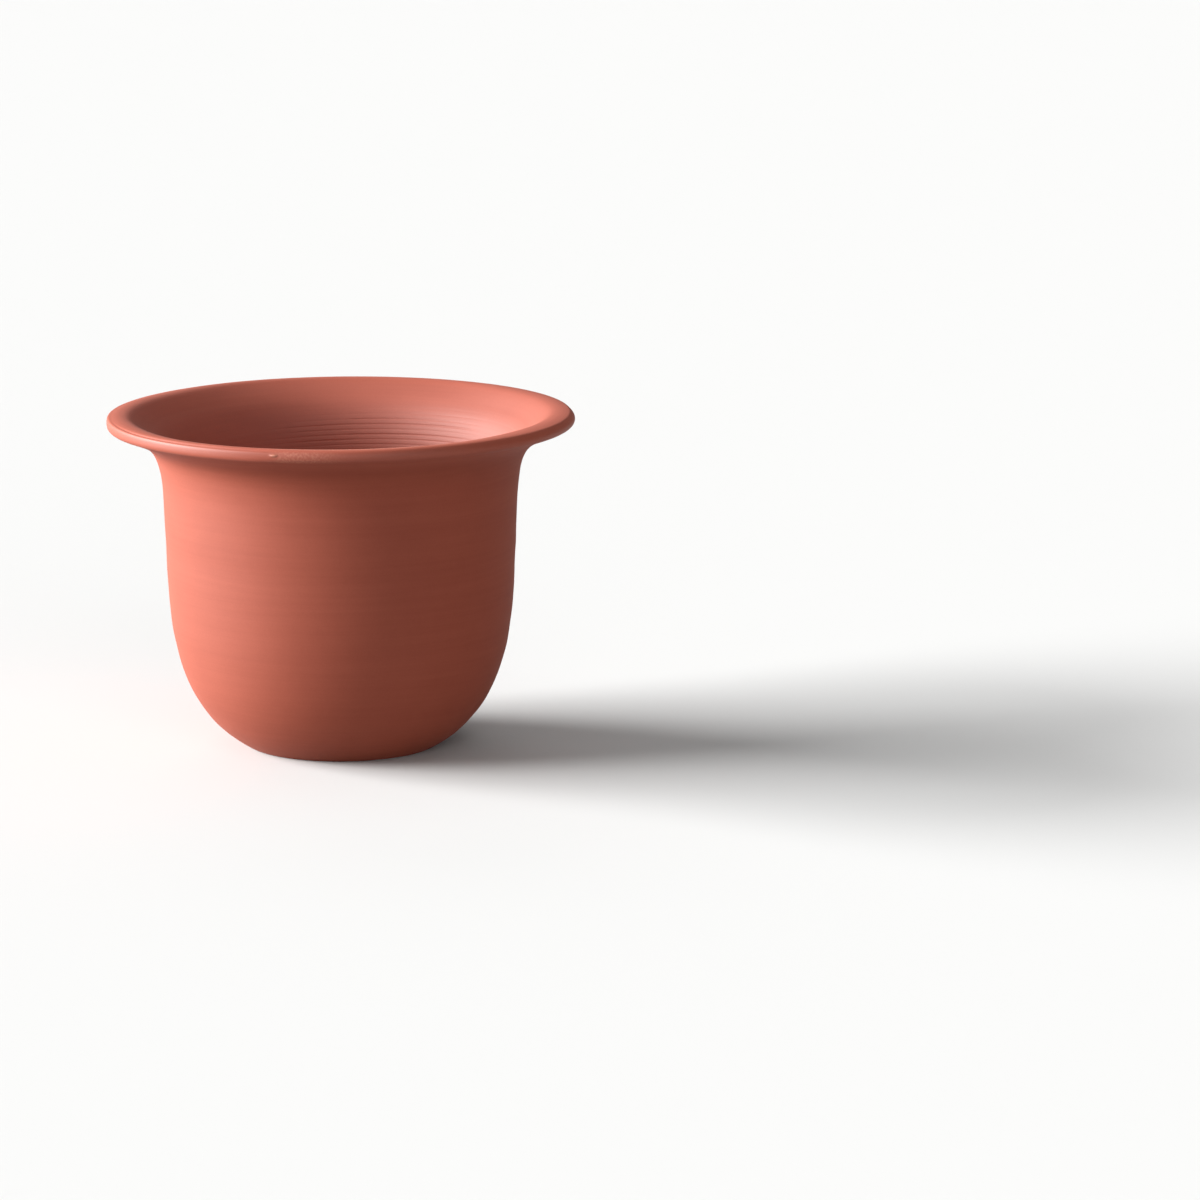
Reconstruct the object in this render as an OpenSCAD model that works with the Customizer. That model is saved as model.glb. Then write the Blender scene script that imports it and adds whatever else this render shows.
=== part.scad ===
// Clay kulhad, a tea cup thrown on a wheel from one lump of clay. It has a flat foot that was cut
// with a string, a round bowl, a straight wall and a wide flared lip. Sizes are those of the fired
// cup, in millimetres, with the foot's flat at height zero and the axis of the wheel up the middle.

/* [Rim] */
// Diameter over the lip
rim_d = 92.6; // [86:0.2:102]
// Height from the foot's flat to the top of the lip
cup_h = 67; // [63:0.5:74]
// Thickness of the lip, which is round all along its edge
lip_t = 2.7; // [1.8:0.1:3.4]
// Slope of the flare where it runs into the lip, in degrees above level
flare_angle = 22.5; // [15:0.5:35]

/* [Neck] */
// Outside diameter of the neck, where the wall begins to flare
neck_d = 70.4; // [66:0.2:75]
// Height of the neck
neck_h = 49; // [45:0.5:53]

/* [Bowl] */
// Outside diameter of the belly, where the bowl runs out into the straight wall
belly_d = 69.6; // [64:0.2:74]
// Height of the belly
belly_h = 39; // [34:0.5:42]
// Diameter of the flat foot
foot_d = 38; // [32:0.5:46]
// Slope of the bowl where it leaves the foot, in degrees above level
heel_angle = 28; // [22:0.5:38]

/* [Clay] */
// Thickness of the wall from the belly to the neck
wall_t = 3.2; // [2.4:0.1:4.2]
// Thickness of the floor
floor_t = 4.6; // [3.6:0.1:7]
// Diameter of the flat in the middle of the inside floor
floor_d = 20; // [16:0.5:26]

/* [Throwing rings] */
// Depth of the rings that the fingers leave in the inside of the wall
ring_depth = 0.22; // [0.05:0.01:0.35]
// Width of the highest rings, from one ridge to the next
ring_w = 1; // [0.8:0.05:1.6]
// Number of rings of that width, before they begin to widen
ring_steady = 8; // [2:1:10]
// Width that each wider ring gains on the one above it
ring_gain = 0.2; // [0.05:0.01:0.3]
// Distance of the highest ridge below the top of the lip
ring_drop = 4.7; // [4:0.1:9]
// Height above the inside floor at which the rings end
ring_end = 9; // [7:0.5:20]

/* [Floor spiral] */
// Distance between the turns of the finger's spiral on the inside floor
spiral_pitch = 3; // [2.4:0.1:3.2]
// Number of half turns in the spiral
spiral_halves = 5; // [2:1:5]
// Depth of the spiral's groove
spiral_depth = 0.3; // [0.1:0.05:0.4]
// Radius of the fingertip's edge that drew the groove
spiral_tip = 1; // [0.6:0.1:1.1]

/* [Cut foot] */
// Number of loops that the cutting string left on the underside
cut_loops = 6; // [1:1:6]
// Distance from one loop to the next where they lie furthest apart
cut_pitch = 3.2; // [2.6:0.1:3.6]
// Distance from one loop to the next where they crowd together
cut_crowd = 1.4; // [1.3:0.05:1.6]
// Depth of a loop's groove
cut_depth = 0.22; // [0.05:0.01:0.35]
// Radius of the string
cut_tip = 0.6; // [0.4:0.05:0.7]

/* [Hidden] */
$fn = 72;

// How far the handles of the bowl's curve reach from its two ends, as shares of the belly's height
bowl_low_share = 0.44;
bowl_high_share = 0.33;
// How far the handles of the flare's curve reach, as shares of its height and of its overhang
flare_low_share = 0.79;
flare_high_share = 0.8;
// How far the handles of the inside bowl's curve reach, as shares of its width and of its height
inside_low_share = 0.66;
inside_high_share = 0.68;
// Places of the points across one ring, and how deep each lies, as shares of its width and depth
ring_place_shares = [0, 0.2, 0.5, 0.8];
ring_depth_shares = [0, 0.6, 1, 0.6];
// Number of rings over which the top ones fade out into the flare
ring_fade = 3;

bowl_steps = 20;
flare_steps = 16;
lip_steps = 10;

foot_edge = [foot_d / 2, 0];
belly = [belly_d / 2, belly_h];
neck = [neck_d / 2, neck_h];
lip_r = lip_t / 2;
lip_mid = [rim_d / 2 - lip_r, cup_h - lip_r];
lip_under = lip_mid + lip_r * [sin(flare_angle), -cos(flare_angle)];

heel_dir = [cos(heel_angle), sin(heel_angle)];
wall_dir = (neck - belly) / norm(neck - belly);
flare_dir = [cos(flare_angle), sin(flare_angle)];

floor_edge = [floor_d / 2, floor_t];
inside_belly = belly - [wall_t, 0];

function mix(a, b, share) = a + (b - a) * share;
function to_left(direction) = [-direction[1], direction[0]];

// A point of a curve with two end points and two handles, and the direction of the curve there
function curve(p, share) =
    pow(1 - share, 3) * p[0]
    + 3 * share * pow(1 - share, 2) * p[1]
    + 3 * share * share * (1 - share) * p[2]
    + pow(share, 3) * p[3];
function curve_dir(p, share) =
    let (d = pow(1 - share, 2) * (p[1] - p[0])
           + 2 * share * (1 - share) * (p[2] - p[1])
           + share * share * (p[3] - p[2]))
    d / norm(d);

// The outside, from the foot's edge up to the underside of the lip
bowl_curve = [
    foot_edge,
    foot_edge + bowl_low_share * belly_h * heel_dir,
    belly - bowl_high_share * belly_h * wall_dir,
    belly
];
flare_curve = [
    neck,
    neck + flare_low_share * (lip_under[1] - neck[1]) * wall_dir,
    lip_under - flare_high_share * (lip_under[0] - neck[0]) * flare_dir,
    lip_under
];
bowl_outside = [for (i = [0:bowl_steps]) curve(bowl_curve, i / bowl_steps)];
flare_outside = [for (i = [0:flare_steps]) curve(flare_curve, i / flare_steps)];

// The lip, round from its underside over its edge and top to the inside of the flare
lip_arc = [
    for (i = [1:lip_steps - 1])
        let (turn = flare_angle - 90 + 180 * i / lip_steps)
        lip_mid + lip_r * [cos(turn), sin(turn)]
];

// The inside before the rings: the flare lies one wall thickness inside its outer curve, and
// thins or thickens evenly from the wall to the lip
flare_inside = [
    for (i = [0:flare_steps])
        let (share = i / flare_steps)
        curve(flare_curve, share)
            + mix(wall_t, lip_t, share) * to_left(curve_dir(flare_curve, share))
];
inside_curve = [
    floor_edge,
    floor_edge + inside_low_share * (inside_belly[0] - floor_edge[0]) * [1, 0],
    inside_belly - inside_high_share * (belly_h - floor_t) * wall_dir,
    inside_belly
];
bowl_inside = [for (i = [0:bowl_steps]) curve(inside_curve, i / bowl_steps)];
inside_path = concat(bowl_inside, flare_inside);
inside_table = [for (p = inside_path) [p[1], p[0]]];

// The rings: each ridge lies one ring's width below the one above, and the rings widen downwards
ring_top = cup_h - ring_drop;
ring_stop = floor_t + ring_end;
function widening(i) = max(0, i - ring_steady);
function ridge_h(i) = ring_top - i * ring_w - ring_gain * widening(i) * (widening(i) + 1) / 2;
function rings_above(height, i = 0) =
    ridge_h(i + 1) < height ? i : rings_above(height, i + 1);
ring_count = rings_above(ring_stop);
ring_low = ridge_h(ring_count);

ring_points = [
    for (i = [0:ring_count - 1], j = [0:len(ring_place_shares) - 1])
        let (
            height = mix(ridge_h(i), ridge_h(i + 1), ring_place_shares[j]),
            fade = min(1, (i + 1) / ring_fade),
            depth = ring_depth * fade * ring_depth_shares[j]
        )
        [lookup(height, inside_table) + depth, height]
];

// The inside from the lip down to the floor
inside_down = concat(
    [for (i = [len(inside_path) - 1:-1:0]) if (inside_path[i][1] > ring_top) inside_path[i]],
    ring_points,
    [[lookup(ring_low, inside_table), ring_low]],
    [for (i = [len(inside_path) - 1:-1:0]) if (inside_path[i][1] < ring_low) inside_path[i]]
);

module thrown_wall() {
    rotate_extrude()
        polygon(concat(
            [[0, 0]],
            bowl_outside,
            flare_outside,
            lip_arc,
            inside_down,
            [[0, floor_t]]
        ));
}

// Half turns of growing radius about two centres in turn, which join into one spiral
module floor_spiral() {
    step = spiral_pitch / 2;
    translate([0, 0, floor_t + spiral_tip - spiral_depth])
        for (i = [1:spiral_halves])
            translate([(i % 2) * step, 0, 0])
                rotate([0, 0, (i % 2) * 180])
                    rotate_extrude(angle = 180)
                        translate([(i + 1) * step, 0])
                            circle(r = spiral_tip, $fn = 16);
}

// Loops that the string drew while the cup still turned, crowded together on one side
module cut_marks() {
    step = (cut_pitch + cut_crowd) / 2;
    shift = (cut_pitch - cut_crowd) / 2;
    translate([0, 0, cut_depth - cut_tip])
        for (i = [1:cut_loops])
            translate([(cut_loops - i) * shift, 0, 0])
                rotate_extrude()
                    translate([i * step, 0])
                        circle(r = cut_tip, $fn = 16);
}

module cup() {
    color("#b35438")
        difference() {
            thrown_wall();
            floor_spiral();
            cut_marks();
        }
}

cup();
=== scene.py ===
import math

import bpy
import numpy as np
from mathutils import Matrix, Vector


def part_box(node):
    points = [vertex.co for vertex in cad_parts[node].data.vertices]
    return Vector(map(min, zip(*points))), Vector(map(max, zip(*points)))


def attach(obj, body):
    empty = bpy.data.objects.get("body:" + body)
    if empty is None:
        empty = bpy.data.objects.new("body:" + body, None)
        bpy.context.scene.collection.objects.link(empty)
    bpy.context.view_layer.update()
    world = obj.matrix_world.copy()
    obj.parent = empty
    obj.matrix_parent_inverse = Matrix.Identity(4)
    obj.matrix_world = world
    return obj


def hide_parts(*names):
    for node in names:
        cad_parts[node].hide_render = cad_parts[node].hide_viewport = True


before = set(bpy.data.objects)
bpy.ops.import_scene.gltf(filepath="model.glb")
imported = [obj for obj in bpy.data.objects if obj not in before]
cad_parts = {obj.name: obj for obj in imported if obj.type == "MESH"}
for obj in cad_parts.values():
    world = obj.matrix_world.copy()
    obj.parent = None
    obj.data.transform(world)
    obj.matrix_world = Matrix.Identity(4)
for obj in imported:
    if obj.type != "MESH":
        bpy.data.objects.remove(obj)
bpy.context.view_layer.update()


# The camera, a long lens level with the table's left and right, looks down at the cup from a
# little above its rim. Its pitch and distance are those that give the photograph's ellipses.

MM = 0.001
camera_pitch = math.radians(11.18)
camera_distance = 1200 * MM
camera_lens = 180
camera_near = 100 * MM
camera_far = 20
camera_aim = Vector((51.69, 0, 28.84)) * MM

camera_back = Vector((0, -math.cos(camera_pitch), math.sin(camera_pitch)))
bpy.ops.object.camera_add(
    location=camera_aim + camera_distance * camera_back,
    rotation=(math.pi / 2 - camera_pitch, 0, 0),
)
camera = bpy.context.object
camera.name = "camera"
camera.data.lens = camera_lens
camera.data.clip_start = camera_near
camera.data.clip_end = camera_far
bpy.context.scene.camera = camera


# The cup is one wall of red clay, thrown on a wheel from a lump, cut off with a string and fired
# without a glaze. Its outline is drawn first, from the middle of the foot's flat up the outside,
# over the lip and down the inside to the middle of the floor, and is then spun round the axis.

cup_low, cup_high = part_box("cup")
rim_r = cup_high.x
cup_h = cup_high.z
lip_r = 1.35 * MM
flare_angle = math.radians(22.5)
neck = np.array((35.2, 49)) * MM
belly = np.array((34.8, 39)) * MM
foot_r = 19 * MM
heel_angle = math.radians(28)
wall_t = 3.2 * MM
floor_t = 4.6 * MM
floor_r = 10 * MM
foot_soft = 0.5 * MM

bowl_low_share = 0.44
bowl_high_share = 0.33
flare_low_share = 0.79
flare_high_share = 0.8
inside_low_share = 0.66
inside_high_share = 0.68
heel_points = 20
lip_points = 60


def curve(ends, count=400):
    """Points along a cubic curve, given its first end, two handles and last end."""
    share = np.linspace(0, 1, count)[:, None]
    first, second, third, last = (np.array(point, float) for point in ends)
    return (
        first * (1 - share) ** 3
        + 3 * second * share * (1 - share) ** 2
        + 3 * third * share**2 * (1 - share)
        + last * share**3
    )


def lengths(points):
    """The distance along a line of points, at each of them."""
    steps = np.linalg.norm(np.diff(points, axis=0), axis=1)
    return np.concatenate(([0], np.cumsum(steps)))


def spaced(points, gap):
    """The same line with its points spread evenly, about one gap apart."""
    run = lengths(points)
    marks = np.linspace(0, run[-1], max(1, round(run[-1] / gap)) + 1)
    return np.column_stack([np.interp(marks, run, points[:, k]) for k in (0, 1)])


def unit(direction):
    return direction / np.linalg.norm(direction)


heel_dir = np.array((math.cos(heel_angle), math.sin(heel_angle)))
wall_dir = unit(neck - belly)
flare_dir = np.array((math.cos(flare_angle), math.sin(flare_angle)))
lip_mid = np.array((rim_r - lip_r, cup_h - lip_r))
lip_under = lip_mid + lip_r * np.array((flare_dir[1], -flare_dir[0]))
foot_edge = np.array((foot_r, 0))
inside_belly = belly - (wall_t, 0)
inside_floor = np.array((floor_r, floor_t))

underside = np.array(((0, 0), (foot_r - foot_soft, 0)))
heel_ends = (underside[1], foot_edge, foot_edge, foot_edge + foot_soft * heel_dir)
heel = curve(heel_ends, heel_points)
bowl = curve((
    foot_edge,
    foot_edge + bowl_low_share * belly[1] * heel_dir,
    belly - bowl_high_share * belly[1] * wall_dir,
    belly,
))
bowl = np.vstack((heel[-1], bowl[bowl[:, 1] > heel[-1][1]]))
flare = curve((
    neck,
    neck + flare_low_share * (lip_under[1] - neck[1]) * wall_dir,
    lip_under - flare_high_share * (lip_under[0] - neck[0]) * flare_dir,
    lip_under,
))
lip_turns = np.linspace(flare_angle - math.pi / 2, flare_angle + math.pi / 2, lip_points)
lip = lip_mid + lip_r * np.column_stack((np.cos(lip_turns), np.sin(lip_turns)))

# The inside of the flare lies one thickness of clay to the left of its outside, going up
flare_steps = np.gradient(flare, axis=0)
flare_left = np.column_stack((-flare_steps[:, 1], flare_steps[:, 0]))
flare_left /= np.linalg.norm(flare_left, axis=1)[:, None]
clay_t = np.linspace(wall_t, 2 * lip_r, len(flare))[:, None]
inside_flare = flare + clay_t * flare_left
inside_bowl = curve((
    inside_floor,
    inside_floor + (inside_low_share * (inside_belly[0] - floor_r), 0),
    inside_belly - inside_high_share * (belly[1] - floor_t) * wall_dir,
    inside_belly,
))
inside = np.vstack((inside_bowl, inside_flare[1:]))[::-1]

# The outline's parts in turn, each with the distance between its rows of points, which lie closer
# together where the clay has finer marks
crease_top = 63.5 * MM
crease_low = 54 * MM
rings_low = 13 * MM
inside_h = inside[:, 1]
outline_parts = (
    (underside, 0.42 * MM),
    (heel, 0.17 * MM),
    (bowl, 0.9 * MM),
    (np.array((belly, neck)), 0.9 * MM),
    (flare, 0.65 * MM),
    (lip, 0.17 * MM),
    (inside[inside_h >= crease_top], 0.35 * MM),
    (inside[(inside_h <= crease_top) & (inside_h >= crease_low)], 0.1 * MM),
    (inside[(inside_h <= crease_low) & (inside_h >= rings_low)], 0.28 * MM),
    (inside[inside_h <= rings_low], 0.4 * MM),
    (np.array((inside_floor, (0, floor_t))), 0.33 * MM),
)
least_gap = 0.01 * MM
rows = np.vstack([spaced(points, gap) for points, gap in outline_parts])
apart = np.linalg.norm(np.diff(rows, axis=0), axis=1) > least_gap
rows = rows[np.concatenate(([True], apart))]
throw = lengths(rows)

bpy.ops.object.select_all(action="DESELECT")
bpy.ops.mesh.primitive_plane_add(size=MM, location=(0, 0, 0))
cup = bpy.context.object
cup.name = "thrown_cup"
bpy.ops.object.mode_set(mode="EDIT")
bpy.ops.mesh.merge(type="CENTER")
for step in np.diff(rows, axis=0):
    bpy.ops.mesh.extrude_region_move(TRANSFORM_OT_translate={"value": (step[0], 0, step[1])})
bpy.ops.object.mode_set(mode="OBJECT")
cup.data.attributes.new("throw", "FLOAT", "POINT")
cup.data.attributes["throw"].data.foreach_set("value", throw.astype(np.float32))

spin_steps = 180
doubles_gap = 0.002 * MM
bpy.ops.object.mode_set(mode="EDIT")
bpy.ops.mesh.select_all(action="SELECT")
bpy.ops.mesh.spin(steps=spin_steps, angle=2 * math.pi, center=(0, 0, 0), axis=(0, 0, 1))
bpy.ops.mesh.select_all(action="SELECT")
bpy.ops.mesh.remove_doubles(threshold=doubles_gap)
bpy.ops.mesh.normals_make_consistent(inside=False)
bpy.ops.object.mode_set(mode="OBJECT")
bpy.ops.object.shade_smooth()


def smooth(value, start, end):
    """Rises evenly from 0 at start to 1 at end, with soft ends."""
    share = np.clip((value - start) / (end - start), 0, 1)
    return share * share * (3 - 2 * share)


def between(value, rise, fall):
    """Rises from 0 to 1 over the first pair of values and falls back to 0 over the second."""
    return smooth(value, *rise) * (1 - smooth(value, *fall))


def soft_line(far):
    """1 on the middle of a line and fading off it, by the distance in widths of the line."""
    return np.exp(-(far**2))


mesh = cup.data
count = len(mesh.vertices)
place = np.empty(3 * count, np.float32)
facing = np.empty(3 * count, np.float32)
along = np.empty(count, np.float32)
mesh.vertices.foreach_get("co", place)
mesh.vertices.foreach_get("normal", facing)
mesh.attributes["throw"].data.foreach_get("value", along)
place = place.reshape(-1, 3).astype(float)
facing = facing.reshape(-1, 3).astype(float)
x, y, z = place.T
edge_far = rim_r - np.hypot(x, y)

# Where the underside, the heel, the flare and the lip end, and where the floor starts, along the
# outline. A turn goes round the axis, from 0 in front to the right. A lip turn goes over the lip,
# from 0 at its outermost edge to a quarter turn on top. Both are in radians.
part_ends = np.cumsum([lengths(points)[-1] for points, gap in outline_parts])
foot_end, outside_start, lip_start, lip_end = part_ends[[0, 1, 4, 5]]
floor_start = throw[-1] - floor_r
turn = np.arctan2(x, -y)
lip_turn = flare_angle - math.pi / 2 + (along - lip_start) / lip_r

wall_fade = 3 * MM
lip_fade = 1 * MM
outside_rise = (outside_start, outside_start + wall_fade)
outside = between(along, outside_rise, (lip_start - lip_fade, lip_start))
inside_wall = smooth(along, lip_end, lip_end + wall_fade)
on_lip = (along > lip_start - lip_fade) & (along < lip_end + lip_fade)

# Turning: shallow waves up the wall, each a slow spiral, that the fingers and the rib leave
random = np.random.default_rng(7)
wave_lengths = np.array((2.9, 4.3, 6.7, 11)) * MM
wave_heights = np.array((0.003, 0.006, 0.011, 0.02)) * MM
wave_swell = 0.4
wave_inside_share = 0.5
push = np.zeros(count)
for wave_length, wave_height in zip(wave_lengths, wave_heights):
    start_turn, swell_turn = random.uniform(0, 2 * math.pi, 2)
    swell = 1 + wave_swell * np.sin(2 * turn + swell_turn)
    wave = np.sin(2 * math.pi * along / wave_length + turn + start_turn)
    push += wave_height * swell * wave * (outside + wave_inside_share * inside_wall)

# Throwing rings: one spiral down the inside, a little tilted from the neck up, whose rings widen on
# the way down. Each place gets its number in rings from the highest.
ring_drop = 4.7 * MM
ring_w = 1.0 * MM
ring_steady = 8
ring_gain = 0.2 * MM
ring_most = 30
marks_per_ring = 20
ring_tilt = math.radians(2)
ring_tilt_rise = (40 * MM, 52 * MM)
above_rings = -9
ring_numbers = np.linspace(0, ring_most, ring_most * marks_per_ring + 1)
ring_widening = np.maximum(0, ring_numbers - ring_steady)
ring_drops = ring_w * ring_numbers + ring_gain * ring_widening * (ring_widening + 1) / 2
ring_h = z - math.tan(ring_tilt) * x * smooth(z, *ring_tilt_rise)
ring_down = cup_h - ring_drop - ring_h
ring_number = np.interp(ring_down, ring_drops, ring_numbers, left=above_rings)
ring_number += turn / (2 * math.pi)
ring_width = ring_w + ring_gain * np.maximum(0, ring_number - ring_steady)
nearest_ring = np.round(ring_number)

# The highest rings meet in sharp creases, deepest at the back on the right and faint elsewhere.
# Their depth also swells and fades along each, as a finger's pressure does.
crease_depth = 0.15 * MM
crease_w = 0.13 * MM
crease_widening = 1.5
crease_turn = math.radians(166)
crease_cos_rise = (0.7, 0.96)
crease_least = 0.14
crease_mean = 0.8
crease_swell = 0.3
crease_swell_step = 2.4
crease_rise = (0, 4)
crease_fall = (9, 16)
crease_widths = crease_w * (ring_width / ring_w) ** crease_widening
crease_far = (ring_number - nearest_ring) * ring_width / crease_widths
crease_power = smooth(np.cos(turn - crease_turn), *crease_cos_rise)
crease_power = crease_least + (1 - crease_least) * crease_power
crease_power *= crease_mean + crease_swell * np.sin(crease_swell_step * nearest_ring + 2 * turn)
crease_power *= smooth(nearest_ring, *crease_rise) * (1 - smooth(ring_number, *crease_fall))
creases = crease_depth * crease_power * soft_line(crease_far)

# The lower rings are wide, round grooves, and end above the inside floor
ring_depth = 0.22 * MM
ring_rise = (7, 15)
ring_roundness = 0.7
ring_fall = (floor_start - 14 * MM, floor_start - 8 * MM)
across_ring = 0.5 - 0.5 * np.cos(2 * math.pi * ring_number)
grooves = ring_depth * smooth(ring_number, *ring_rise) * across_ring**ring_roundness
push -= inside_wall * (1 - smooth(along, *ring_fall)) * (creases + grooves)

# The lip: from the left round to the front the fingers pressed its bead flatter than round, so
# that its face is a broad band. Nearer the front a shallow groove lies between bead and crest.
pressed_turns = ((-2.2, -1.5), (-0.34, -0.2))
pressed_lip_turns = ((-1.5, -0.9), (0.6, 1.1))
bead_power = 2.8
pressed = between(turn, *pressed_turns)
bead = np.abs(np.cos(lip_turn)) ** bead_power + np.abs(np.sin(lip_turn)) ** bead_power
bead_out = lip_r * (bead ** (-1 / bead_power) - 1)
push += pressed * between(lip_turn, *pressed_lip_turns) * bead_out

groove_rise = (-1.45, -0.95)
groove_lip_turn = math.radians(58)
groove_w = 0.26 * MM
groove_depth = 0.3 * MM
grooved = on_lip * pressed * smooth(turn, *groove_rise)
push -= groove_depth * grooved * soft_line((lip_turn - groove_lip_turn) * lip_r / groove_w)

# On the right the lip was drawn out a little further
right_turns = ((0.4, 1.05), (2.1, 2.7))
drawn_lip_turn = -0.3
drawn_w = 0.95 * MM
drawn_out = 0.5 * MM
right = between(turn, *right_turns)
push += on_lip * drawn_out * right * soft_line((lip_turn - drawn_lip_turn) * lip_r / drawn_w)

# The fingers rolled the clay over, so that the crest lies 2 mm in from the edge, or a little more
# on the left and right, where it is also a wider round. This is how much higher or lower that
# makes each place of the lip's top and of the flare.
left_turns = ((-2.7, -2.1), (-1.3, -0.7))
crest_in_front = 2.0 * MM
crest_in_more = 0.6 * MM
crest_r_front = 4.2 * MM
crest_r_more_right = 6 * MM
crest_r_more_left = 3 * MM
crest_flatter_right = math.radians(6)
crest_outer_side = 2 * MM
left = between(turn, *left_turns)
crest_in = crest_in_front + crest_in_more * (right + left)
crest_r = crest_r_front + crest_r_more_right * right + crest_r_more_left * left
crest_slope = flare_angle - crest_flatter_right * right
crest_side = crest_r * np.sin(crest_slope)
side = np.clip(edge_far - crest_in, -crest_outer_side, crest_side)
rolled_z = cup_h - crest_r + np.sqrt(crest_r**2 - side**2)
rolled_z -= np.tan(crest_slope) * np.maximum(0, edge_far - crest_in - crest_side)

# In front it is rolled only part of the way
rolled_in = ((0.1 * MM, 1 * MM), (3.6 * MM, 9 * MM))
rolled_lip_rise = (0.4, 0.8)
rolled_front_share = 0.7
rolled_side_rise = (0.3, 1.2)
rolled = between(edge_far, *rolled_in) * smooth(lip_turn, *rolled_lip_rise)
rolled_side_share = (1 - rolled_front_share) * smooth(np.abs(turn), *rolled_side_rise)
roll = rolled * (rolled_front_share + rolled_side_share) * (rolled_z - z)

# The spiral that a finger drew outwards on the inside floor, in half turns about two centres
spiral_step = 1.5 * MM
spiral_halves = 5
spiral_depth = 0.3 * MM
spiral_w = 0.6 * MM
off_line = 9.0
spiral_far = np.full(count, off_line)
for half in range(1, spiral_halves + 1):
    centre = half % 2 * spiral_step
    far = np.abs(np.hypot(x - centre, y) - (half + 1) * spiral_step) / spiral_w
    spiral_far = np.where((y < 0) == (half % 2 == 1), np.minimum(spiral_far, far), spiral_far)
on_floor = (along > floor_start - wall_fade) & (z < cup_h / 2)
push -= on_floor * spiral_depth * soft_line(spiral_far)

# The loops that the cutting string left on the underside, crowded together on one side
cut_loops = 6
cut_step = 2.3 * MM
cut_shift = 0.9 * MM
cut_depth = 0.22 * MM
cut_w = 0.4 * MM
cut_far = np.full(count, off_line)
for loop in range(1, cut_loops + 1):
    far = np.abs(np.hypot(x - (cut_loops - loop) * cut_shift, y) - loop * cut_step) / cut_w
    cut_far = np.minimum(cut_far, far)
push -= (along < foot_end) * cut_depth * soft_line(cut_far)

place += facing * push[:, None]
place[:, 2] += roll

# The rim dips a little to the left, as such a rim does when the cup is lifted off the wheel
rim_tilt = math.radians(0.3)
rim_tilt_start = 0.75 * cup_h
place[:, 2] += math.tan(rim_tilt) * x * smooth(z, rim_tilt_start, cup_h)
mesh.vertices.foreach_set("co", place.astype(np.float32).ravel())
mesh.update()

# For the clay's pattern: the place round the wheel, and the distance along the outline
wheel = np.column_stack((np.sin(turn), np.cos(turn), along))
mesh.attributes.new("wheel", "FLOAT_VECTOR", "POINT")
mesh.attributes["wheel"].data.foreach_set("vector", wheel.astype(np.float32).ravel())

# Where the clay has slip: smeared over the lip's face in front. Along the crest from there to the
# right a thin line of slip colour is a painted highlight.
smear_turns = ((-0.26, -0.2), (-0.1, 0.1))
smear_lip_turns = ((-1.3, -0.8), (0.5, 1.1))
crest_highlight_turns = ((-0.35, -0.1), (0.2, 0.55))
crest_highlight_lip_rise = (0.6, 1.1)
crest_highlight_in = 2.1 * MM
crest_highlight_w = 0.6 * MM
crest_highlight_power = 3
smeared = on_lip * between(turn, *smear_turns) * between(lip_turn, *smear_lip_turns)
painted_crest_highlight = crest_highlight_power * soft_line((edge_far - crest_highlight_in) / crest_highlight_w)
painted_crest_highlight *= smooth(lip_turn, *crest_highlight_lip_rise) * between(turn, *crest_highlight_turns)
slip_and_crest_highlight = np.maximum(smeared, painted_crest_highlight)

# Where the fingers polished the clay: most on the lip's face, less on its crest and down the
# inside of the flare, and not below. The inside is painted darker and greyer, more so further
# down: painted shade and a painted sheen.
face_rise = (lip_start - 0.5 * MM, lip_start + 1 * MM)
crest_lip_rise = (0.7, 1.3)
crest_polish = 0.4
polish_fall = (lip_end + 14 * MM, lip_end + 22 * MM)
upper_painted_shade_sheen = 0.3
upper_painted_shade_sheen_rise = (lip_end, lip_end + 5 * MM)
lower_painted_shade_sheen = 0.45
lower_painted_shade_sheen_rise = (lip_end + 5 * MM, lip_end + 15 * MM)
polish = smooth(along, *face_rise)
polish -= (1 - crest_polish) * smooth(lip_turn, *crest_lip_rise)
polish -= crest_polish * smooth(along, *polish_fall)
painted_shade_sheen = upper_painted_shade_sheen * smooth(along, *upper_painted_shade_sheen_rise)
painted_shade_sheen += lower_painted_shade_sheen * smooth(along, *lower_painted_shade_sheen_rise)
# Slip with the painted crest highlight, polish, and the inside's painted shade and sheen
touch_and_painted_light = np.column_stack((slip_and_crest_highlight, polish, painted_shade_sheen))
mesh.attributes.new("touch_and_painted_light", "FLOAT_VECTOR", "POINT")
mesh.attributes["touch_and_painted_light"].data.foreach_set("vector", touch_and_painted_light.astype(np.float32).ravel())


def colour(code):
    """An sRGB hex colour as the linear colour that a shader takes."""
    values = [int(code[i : i + 2], 16) / 255 for i in (1, 3, 5)]
    return [v / 12.92 if v <= 0.04045 else ((v + 0.055) / 1.055) ** 2.4 for v in values] + [1]


def add(material, kind, inputs=None, **settings):
    """Adds a node; each input is a plain value or the output of another node."""
    node = material.node_tree.nodes.new(kind)
    for name, value in settings.items():
        setattr(node, name, value)
    for name, value in (inputs or {}).items():
        if isinstance(value, bpy.types.NodeSocket):
            material.node_tree.links.new(value, node.inputs[name])
        else:
            node.inputs[name].default_value = value
    return node.outputs


# Low-fired red earthenware without a glaze: a dry, matt, iron-red body. The turning lines show as
# faint streaks of tone that run round the cup, and the fine grog as a light grain. Its index of
# refraction is set for the soft sheen that wet fingers leave on it.
clay_dark = colour("#a74529")
clay_pale = colour("#c76145")
# The inside's painted shade and painted sheen: darker, greyer clay colours
shade_sheen_dark = colour("#95493a")
shade_sheen_pale = colour("#b36654")
# Dried slip's colour, also used for the painted highlight along the crest
slip_and_crest_highlight_colour = colour("#e3957a")
clay_ior = 1.75
clay_diffuse_roughness = 0.4
dry_roughness = 0.8
polished_roughness = 0.6

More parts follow.
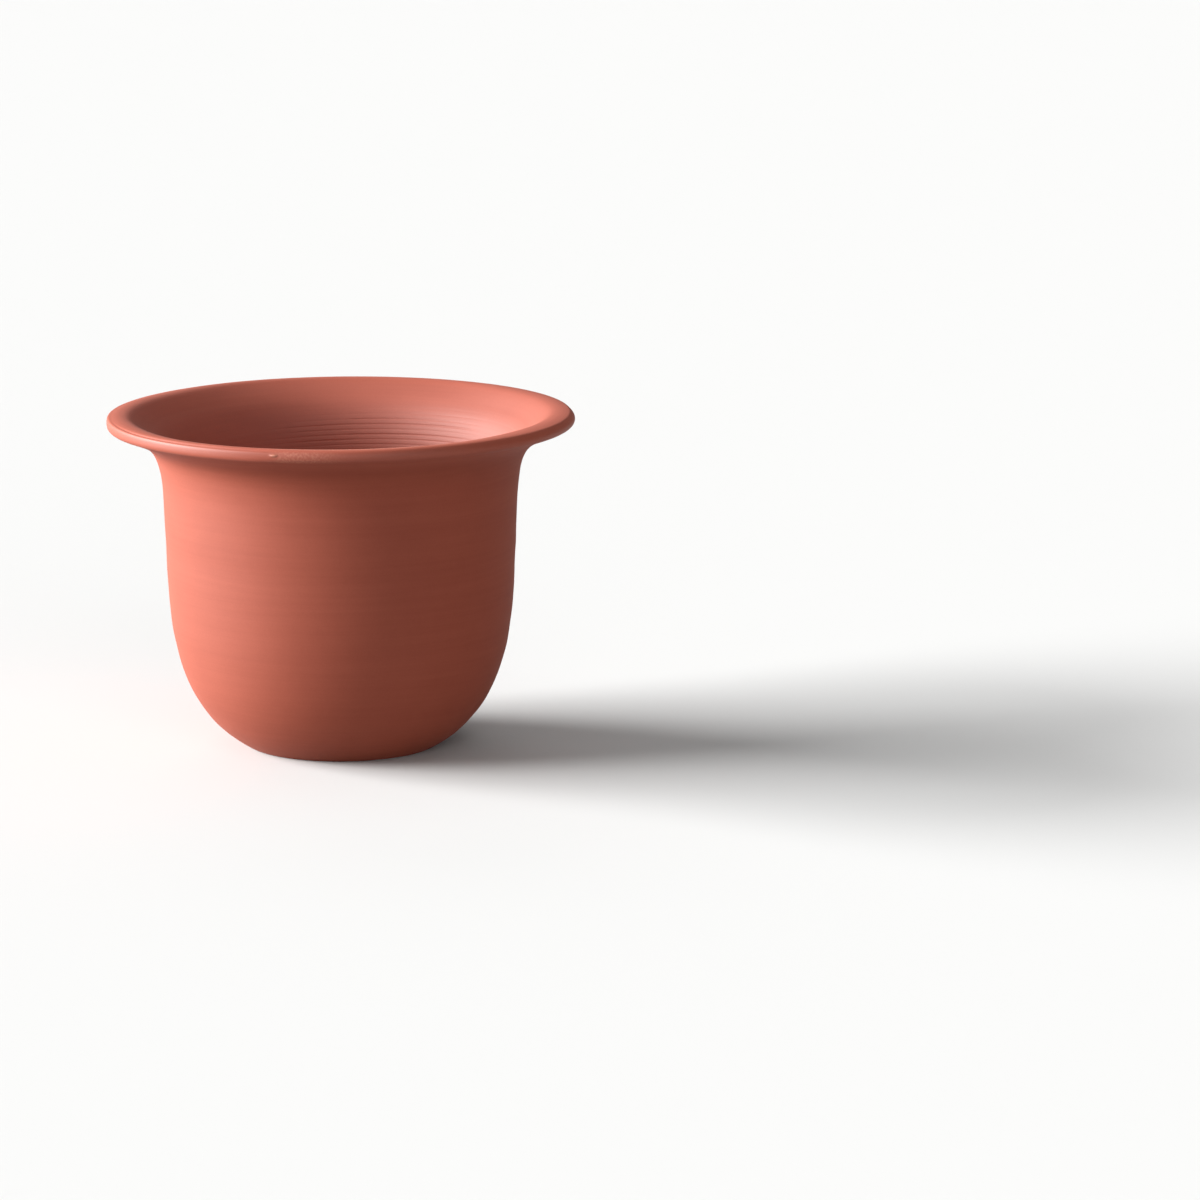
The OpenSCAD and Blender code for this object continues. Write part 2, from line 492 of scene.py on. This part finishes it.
terracotta = bpy.data.materials.new("unglazed_red_earthenware")
terracotta.use_nodes = True
terracotta.node_tree.nodes.clear()
wheel_place = add(terracotta, "ShaderNodeAttribute", attribute_name="wheel")["Vector"]
touch_and_painted_light_read = add(terracotta, "ShaderNodeAttribute", attribute_name="touch_and_painted_light")["Vector"]
object_place = add(terracotta, "ShaderNodeTexCoord")["Object"]
touch_and_painted_light_parts = add(terracotta, "ShaderNodeSeparateXYZ", {0: touch_and_painted_light_read})

# Each layer of streaks: how far it runs round, in turns of the noise, its width up the wall, how
# much tone it gives, and how high it stands in millimetres
streak_layers = (
    (1.6, 0.35 * MM, 0.16, 0.004),
    (1.1, 1.1 * MM, 0.22, 0.008),
    (0.7, 4.5 * MM, 0.30, 0.0),
)
streak_detail = 2
streak_shift = Vector((3.1, 1.7, 0))
noise_layers = []
for number, (round_scale, width, tone_share, stands) in enumerate(streak_layers):
    stretched = add(
        terracotta, "ShaderNodeMapping",
        {"Vector": wheel_place, "Scale": (round_scale, round_scale, 1 / width),
         "Location": number * streak_shift},
    )["Vector"]
    noise_layers.append((stretched, 1, streak_detail, tone_share, stands))

# The fire's blotches and two grains of the clay: size, the noise's detail, tone and height
grain_layers = (
    (22 * MM, 2, 0.35, 0.0),
    (2.5 * MM, 3, 0.1, 0.0),
    (0.3 * MM, 3, 0.28, 0.012),
)
for size, detail, tone_share, stands in grain_layers:
    noise_layers.append((object_place, 1 / size, detail, tone_share, stands))

noise_mean = 0.5
tone = 0.5
height = 0.0
for noise_place, scale, detail, tone_share, stands in noise_layers:
    noise = add(
        terracotta, "ShaderNodeTexNoise",
        {"Vector": noise_place, "Scale": scale, "Detail": detail},
    )["Fac"]
    centred = add(
        terracotta, "ShaderNodeMath", {0: noise, 1: noise_mean}, operation="SUBTRACT",
    )[0]
    tone = add(
        terracotta, "ShaderNodeMath", {0: centred, 1: tone_share, 2: tone},
        operation="MULTIPLY_ADD",
    )[0]
    height = add(
        terracotta, "ShaderNodeMath", {0: noise, 1: stands, 2: height},
        operation="MULTIPLY_ADD",
    )[0]

# Where wet slip was smeared on the lip it dried paler, rougher and mottled: its grain covers the
# clay between the two shares below. It stands up by its height in millimetres. The painted
# highlight along the crest takes the same grain, colour, roughness and height.
smear_grain_size = 0.45 * MM
smear_grain_detail = 2
smear_noise_low = 0.4
smear_noise_high = 0.66
smear_cover_low = 0.08
smear_cover_high = 0.42
smear_height = 0.03
smear_roughness = 0.2
smear_grain = add(
    terracotta, "ShaderNodeTexNoise",
    {"Vector": object_place, "Scale": 1 / smear_grain_size, "Detail": smear_grain_detail},
)["Fac"]
smear_and_crest_highlight = add(
    terracotta, "ShaderNodeMapRange",
    {"Value": smear_grain, "From Min": smear_noise_low, "From Max": smear_noise_high,
     "To Min": smear_cover_low, "To Max": smear_cover_high},
)["Result"]
smear_and_crest_highlight = add(terracotta, "ShaderNodeMath", {0: smear_and_crest_highlight, 1: touch_and_painted_light_parts["X"]}, operation="MULTIPLY")[0]

# A small ridge of slip stands at the left end of the smear, where the finger came off. It is
# shorter along the outline than round the rim, and fades from its inner radius to its outer one.
ridge_turn = -0.236
ridge_lip_turn = 0.2
ridge_shortening = 2.6
ridge_inner_r = 0.1 * MM
ridge_outer_r = 1.1 * MM
ridge_cover = 0.8
ridge_height = 0.2
ridge_along = lip_start + (math.pi / 2 - flare_angle + ridge_lip_turn) * lip_r
ridge_scale = Vector((rim_r, rim_r, ridge_shortening))
ridge_middle = Vector((math.sin(ridge_turn), math.cos(ridge_turn), ridge_along))
ridge_near = add(
    terracotta, "ShaderNodeMapping",
    {"Vector": wheel_place, "Scale": ridge_scale, "Location": -ridge_scale * ridge_middle},
)["Vector"]
ridge_far = add(terracotta, "ShaderNodeVectorMath", {0: ridge_near}, operation="LENGTH")["Value"]
ridge = add(
    terracotta, "ShaderNodeMapRange",
    {"Value": ridge_far, "From Min": ridge_inner_r, "From Max": ridge_outer_r,
     "To Min": 1, "To Max": 0},
    interpolation_type="SMOOTHSTEP",
)["Result"]
slip_and_crest_highlight_cover = add(
    terracotta, "ShaderNodeMath", {0: ridge, 1: ridge_cover, 2: smear_and_crest_highlight},
    operation="MULTIPLY_ADD",
)[0]
for relief, stands in ((smear_and_crest_highlight, smear_height), (ridge, ridge_height)):
    height = add(
        terracotta, "ShaderNodeMath", {0: relief, 1: stands, 2: height},
        operation="MULTIPLY_ADD",
    )[0]

# Fired clay is a little paler or darker with its tone. Inside, painted shade and a painted sheen
# make it darker and greyer.
clay = add(
    terracotta, "ShaderNodeMix", {"Factor": tone, 6: clay_dark, 7: clay_pale},
    data_type="RGBA", clamp_factor=False,
)[2]
painted_shade_sheen_clay = add(
    terracotta, "ShaderNodeMix", {"Factor": tone, 6: shade_sheen_dark, 7: shade_sheen_pale},
    data_type="RGBA", clamp_factor=False,
)[2]
clay_with_painted_shade_sheen = add(
    terracotta, "ShaderNodeMix", {"Factor": touch_and_painted_light_parts["Z"], 6: clay, 7: painted_shade_sheen_clay},
    data_type="RGBA",
)[2]
# Slip colour over the smear and ridge, and as a painted highlight along the crest
finished = add(
    terracotta, "ShaderNodeMix", {"Factor": slip_and_crest_highlight_cover, 6: clay_with_painted_shade_sheen, 7: slip_and_crest_highlight_colour},
    data_type="RGBA",
)[2]
burnished = add(
    terracotta, "ShaderNodeMapRange",
    {"Value": touch_and_painted_light_parts["Y"], "From Min": 0, "From Max": 1,
     "To Min": dry_roughness, "To Max": polished_roughness},
)["Result"]
roughness = add(
    terracotta, "ShaderNodeMath", {0: smear_and_crest_highlight, 1: smear_roughness, 2: burnished},
    operation="MULTIPLY_ADD",
)[0]
bumped = add(
    terracotta, "ShaderNodeBump", {"Strength": 1, "Distance": MM, "Height": height},
)["Normal"]
shader = add(
    terracotta, "ShaderNodeBsdfPrincipled",
    {"Base Color": finished, "Roughness": roughness, "IOR": clay_ior, "Normal": bumped,
     "Diffuse Roughness": clay_diffuse_roughness},
)["BSDF"]
add(terracotta, "ShaderNodeOutputMaterial", {"Surface": shader})
mesh.materials.append(terracotta)

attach(cup, "root")
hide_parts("cup")


# The table top is a plain sheet of white paper that carries on far behind the cup and fills the
# view. Seen straight or in a mirror it is white; the light that it throws up on the cup is that of
# a greyer sheet, as the photograph's dark underside of the bowl asks for.

sheet_size = 16
sheet_gap = 0.02 * MM
sheet_white = colour("#e9e9e8")
sheet_grey = colour("#565655")
bpy.ops.object.select_all(action="DESELECT")
bpy.ops.mesh.primitive_plane_add(size=sheet_size, location=(0, 0, -sheet_gap))
table_top = bpy.context.object
table_top.name = "table_top"
paper = bpy.data.materials.new("matt_white_paper")
paper.use_nodes = True
paper.node_tree.nodes.clear()
ray = add(paper, "ShaderNodeLightPath")
seen = ray["Is Camera Ray"]
for kind_of_ray in ("Is Glossy Ray", "Is Transmission Ray"):
    seen = add(paper, "ShaderNodeMath", {0: seen, 1: ray[kind_of_ray]}, operation="MAXIMUM")[0]
white_sheet = add(paper, "ShaderNodeBsdfDiffuse", {"Color": sheet_white})["BSDF"]
grey_sheet = add(paper, "ShaderNodeBsdfDiffuse", {"Color": sheet_grey})["BSDF"]
sheet = add(paper, "ShaderNodeMixShader", {0: seen, 1: grey_sheet, 2: white_sheet})["Shader"]
add(paper, "ShaderNodeOutputMaterial", {"Surface": sheet})
table_top.data.materials.append(paper)


# Studio light: two softboxes side by side, low on the left, are the key. Weak ones in front, behind
# and overhead open the shade. All stand far off, so that the sheet is evenly lit to its far end.

# Each lamp: its name, the degrees that it stands round the cup, from the front to the right, and
# above it, its width in degrees as the cup sees it, and its light in watts per square metre
lamps = (
    ("key_softbox_front", -80, 18, 26, 4.4),
    ("key_softbox_back", -105, 19, 26, 4.3),
    ("front_softbox", 12, 15, 50, 0.76),
    ("back_softbox", -165, 32, 40, 0.25),
    ("top_softbox", 0, 90, 60, 0.25),
)
for name, azimuth, elevation, width, strength in lamps:
    bpy.ops.object.light_add(
        type="SUN", rotation=(math.radians(90 - elevation), 0, math.radians(azimuth))
    )
    lamp = bpy.context.object
    lamp.name = name
    lamp.data.angle = math.radians(width)
    lamp.data.energy = strength

room_strength = 0.13
room_white = colour("#ffffff")
room = bpy.data.worlds.new("dim_room")
room.use_nodes = True
room.node_tree.nodes.clear()
walls = add(
    room, "ShaderNodeBackground", {"Color": room_white, "Strength": room_strength},
)["Background"]
add(room, "ShaderNodeOutputWorld", {"Surface": walls})
bpy.context.scene.world = room
bpy.context.scene.view_settings.view_transform = "Standard"
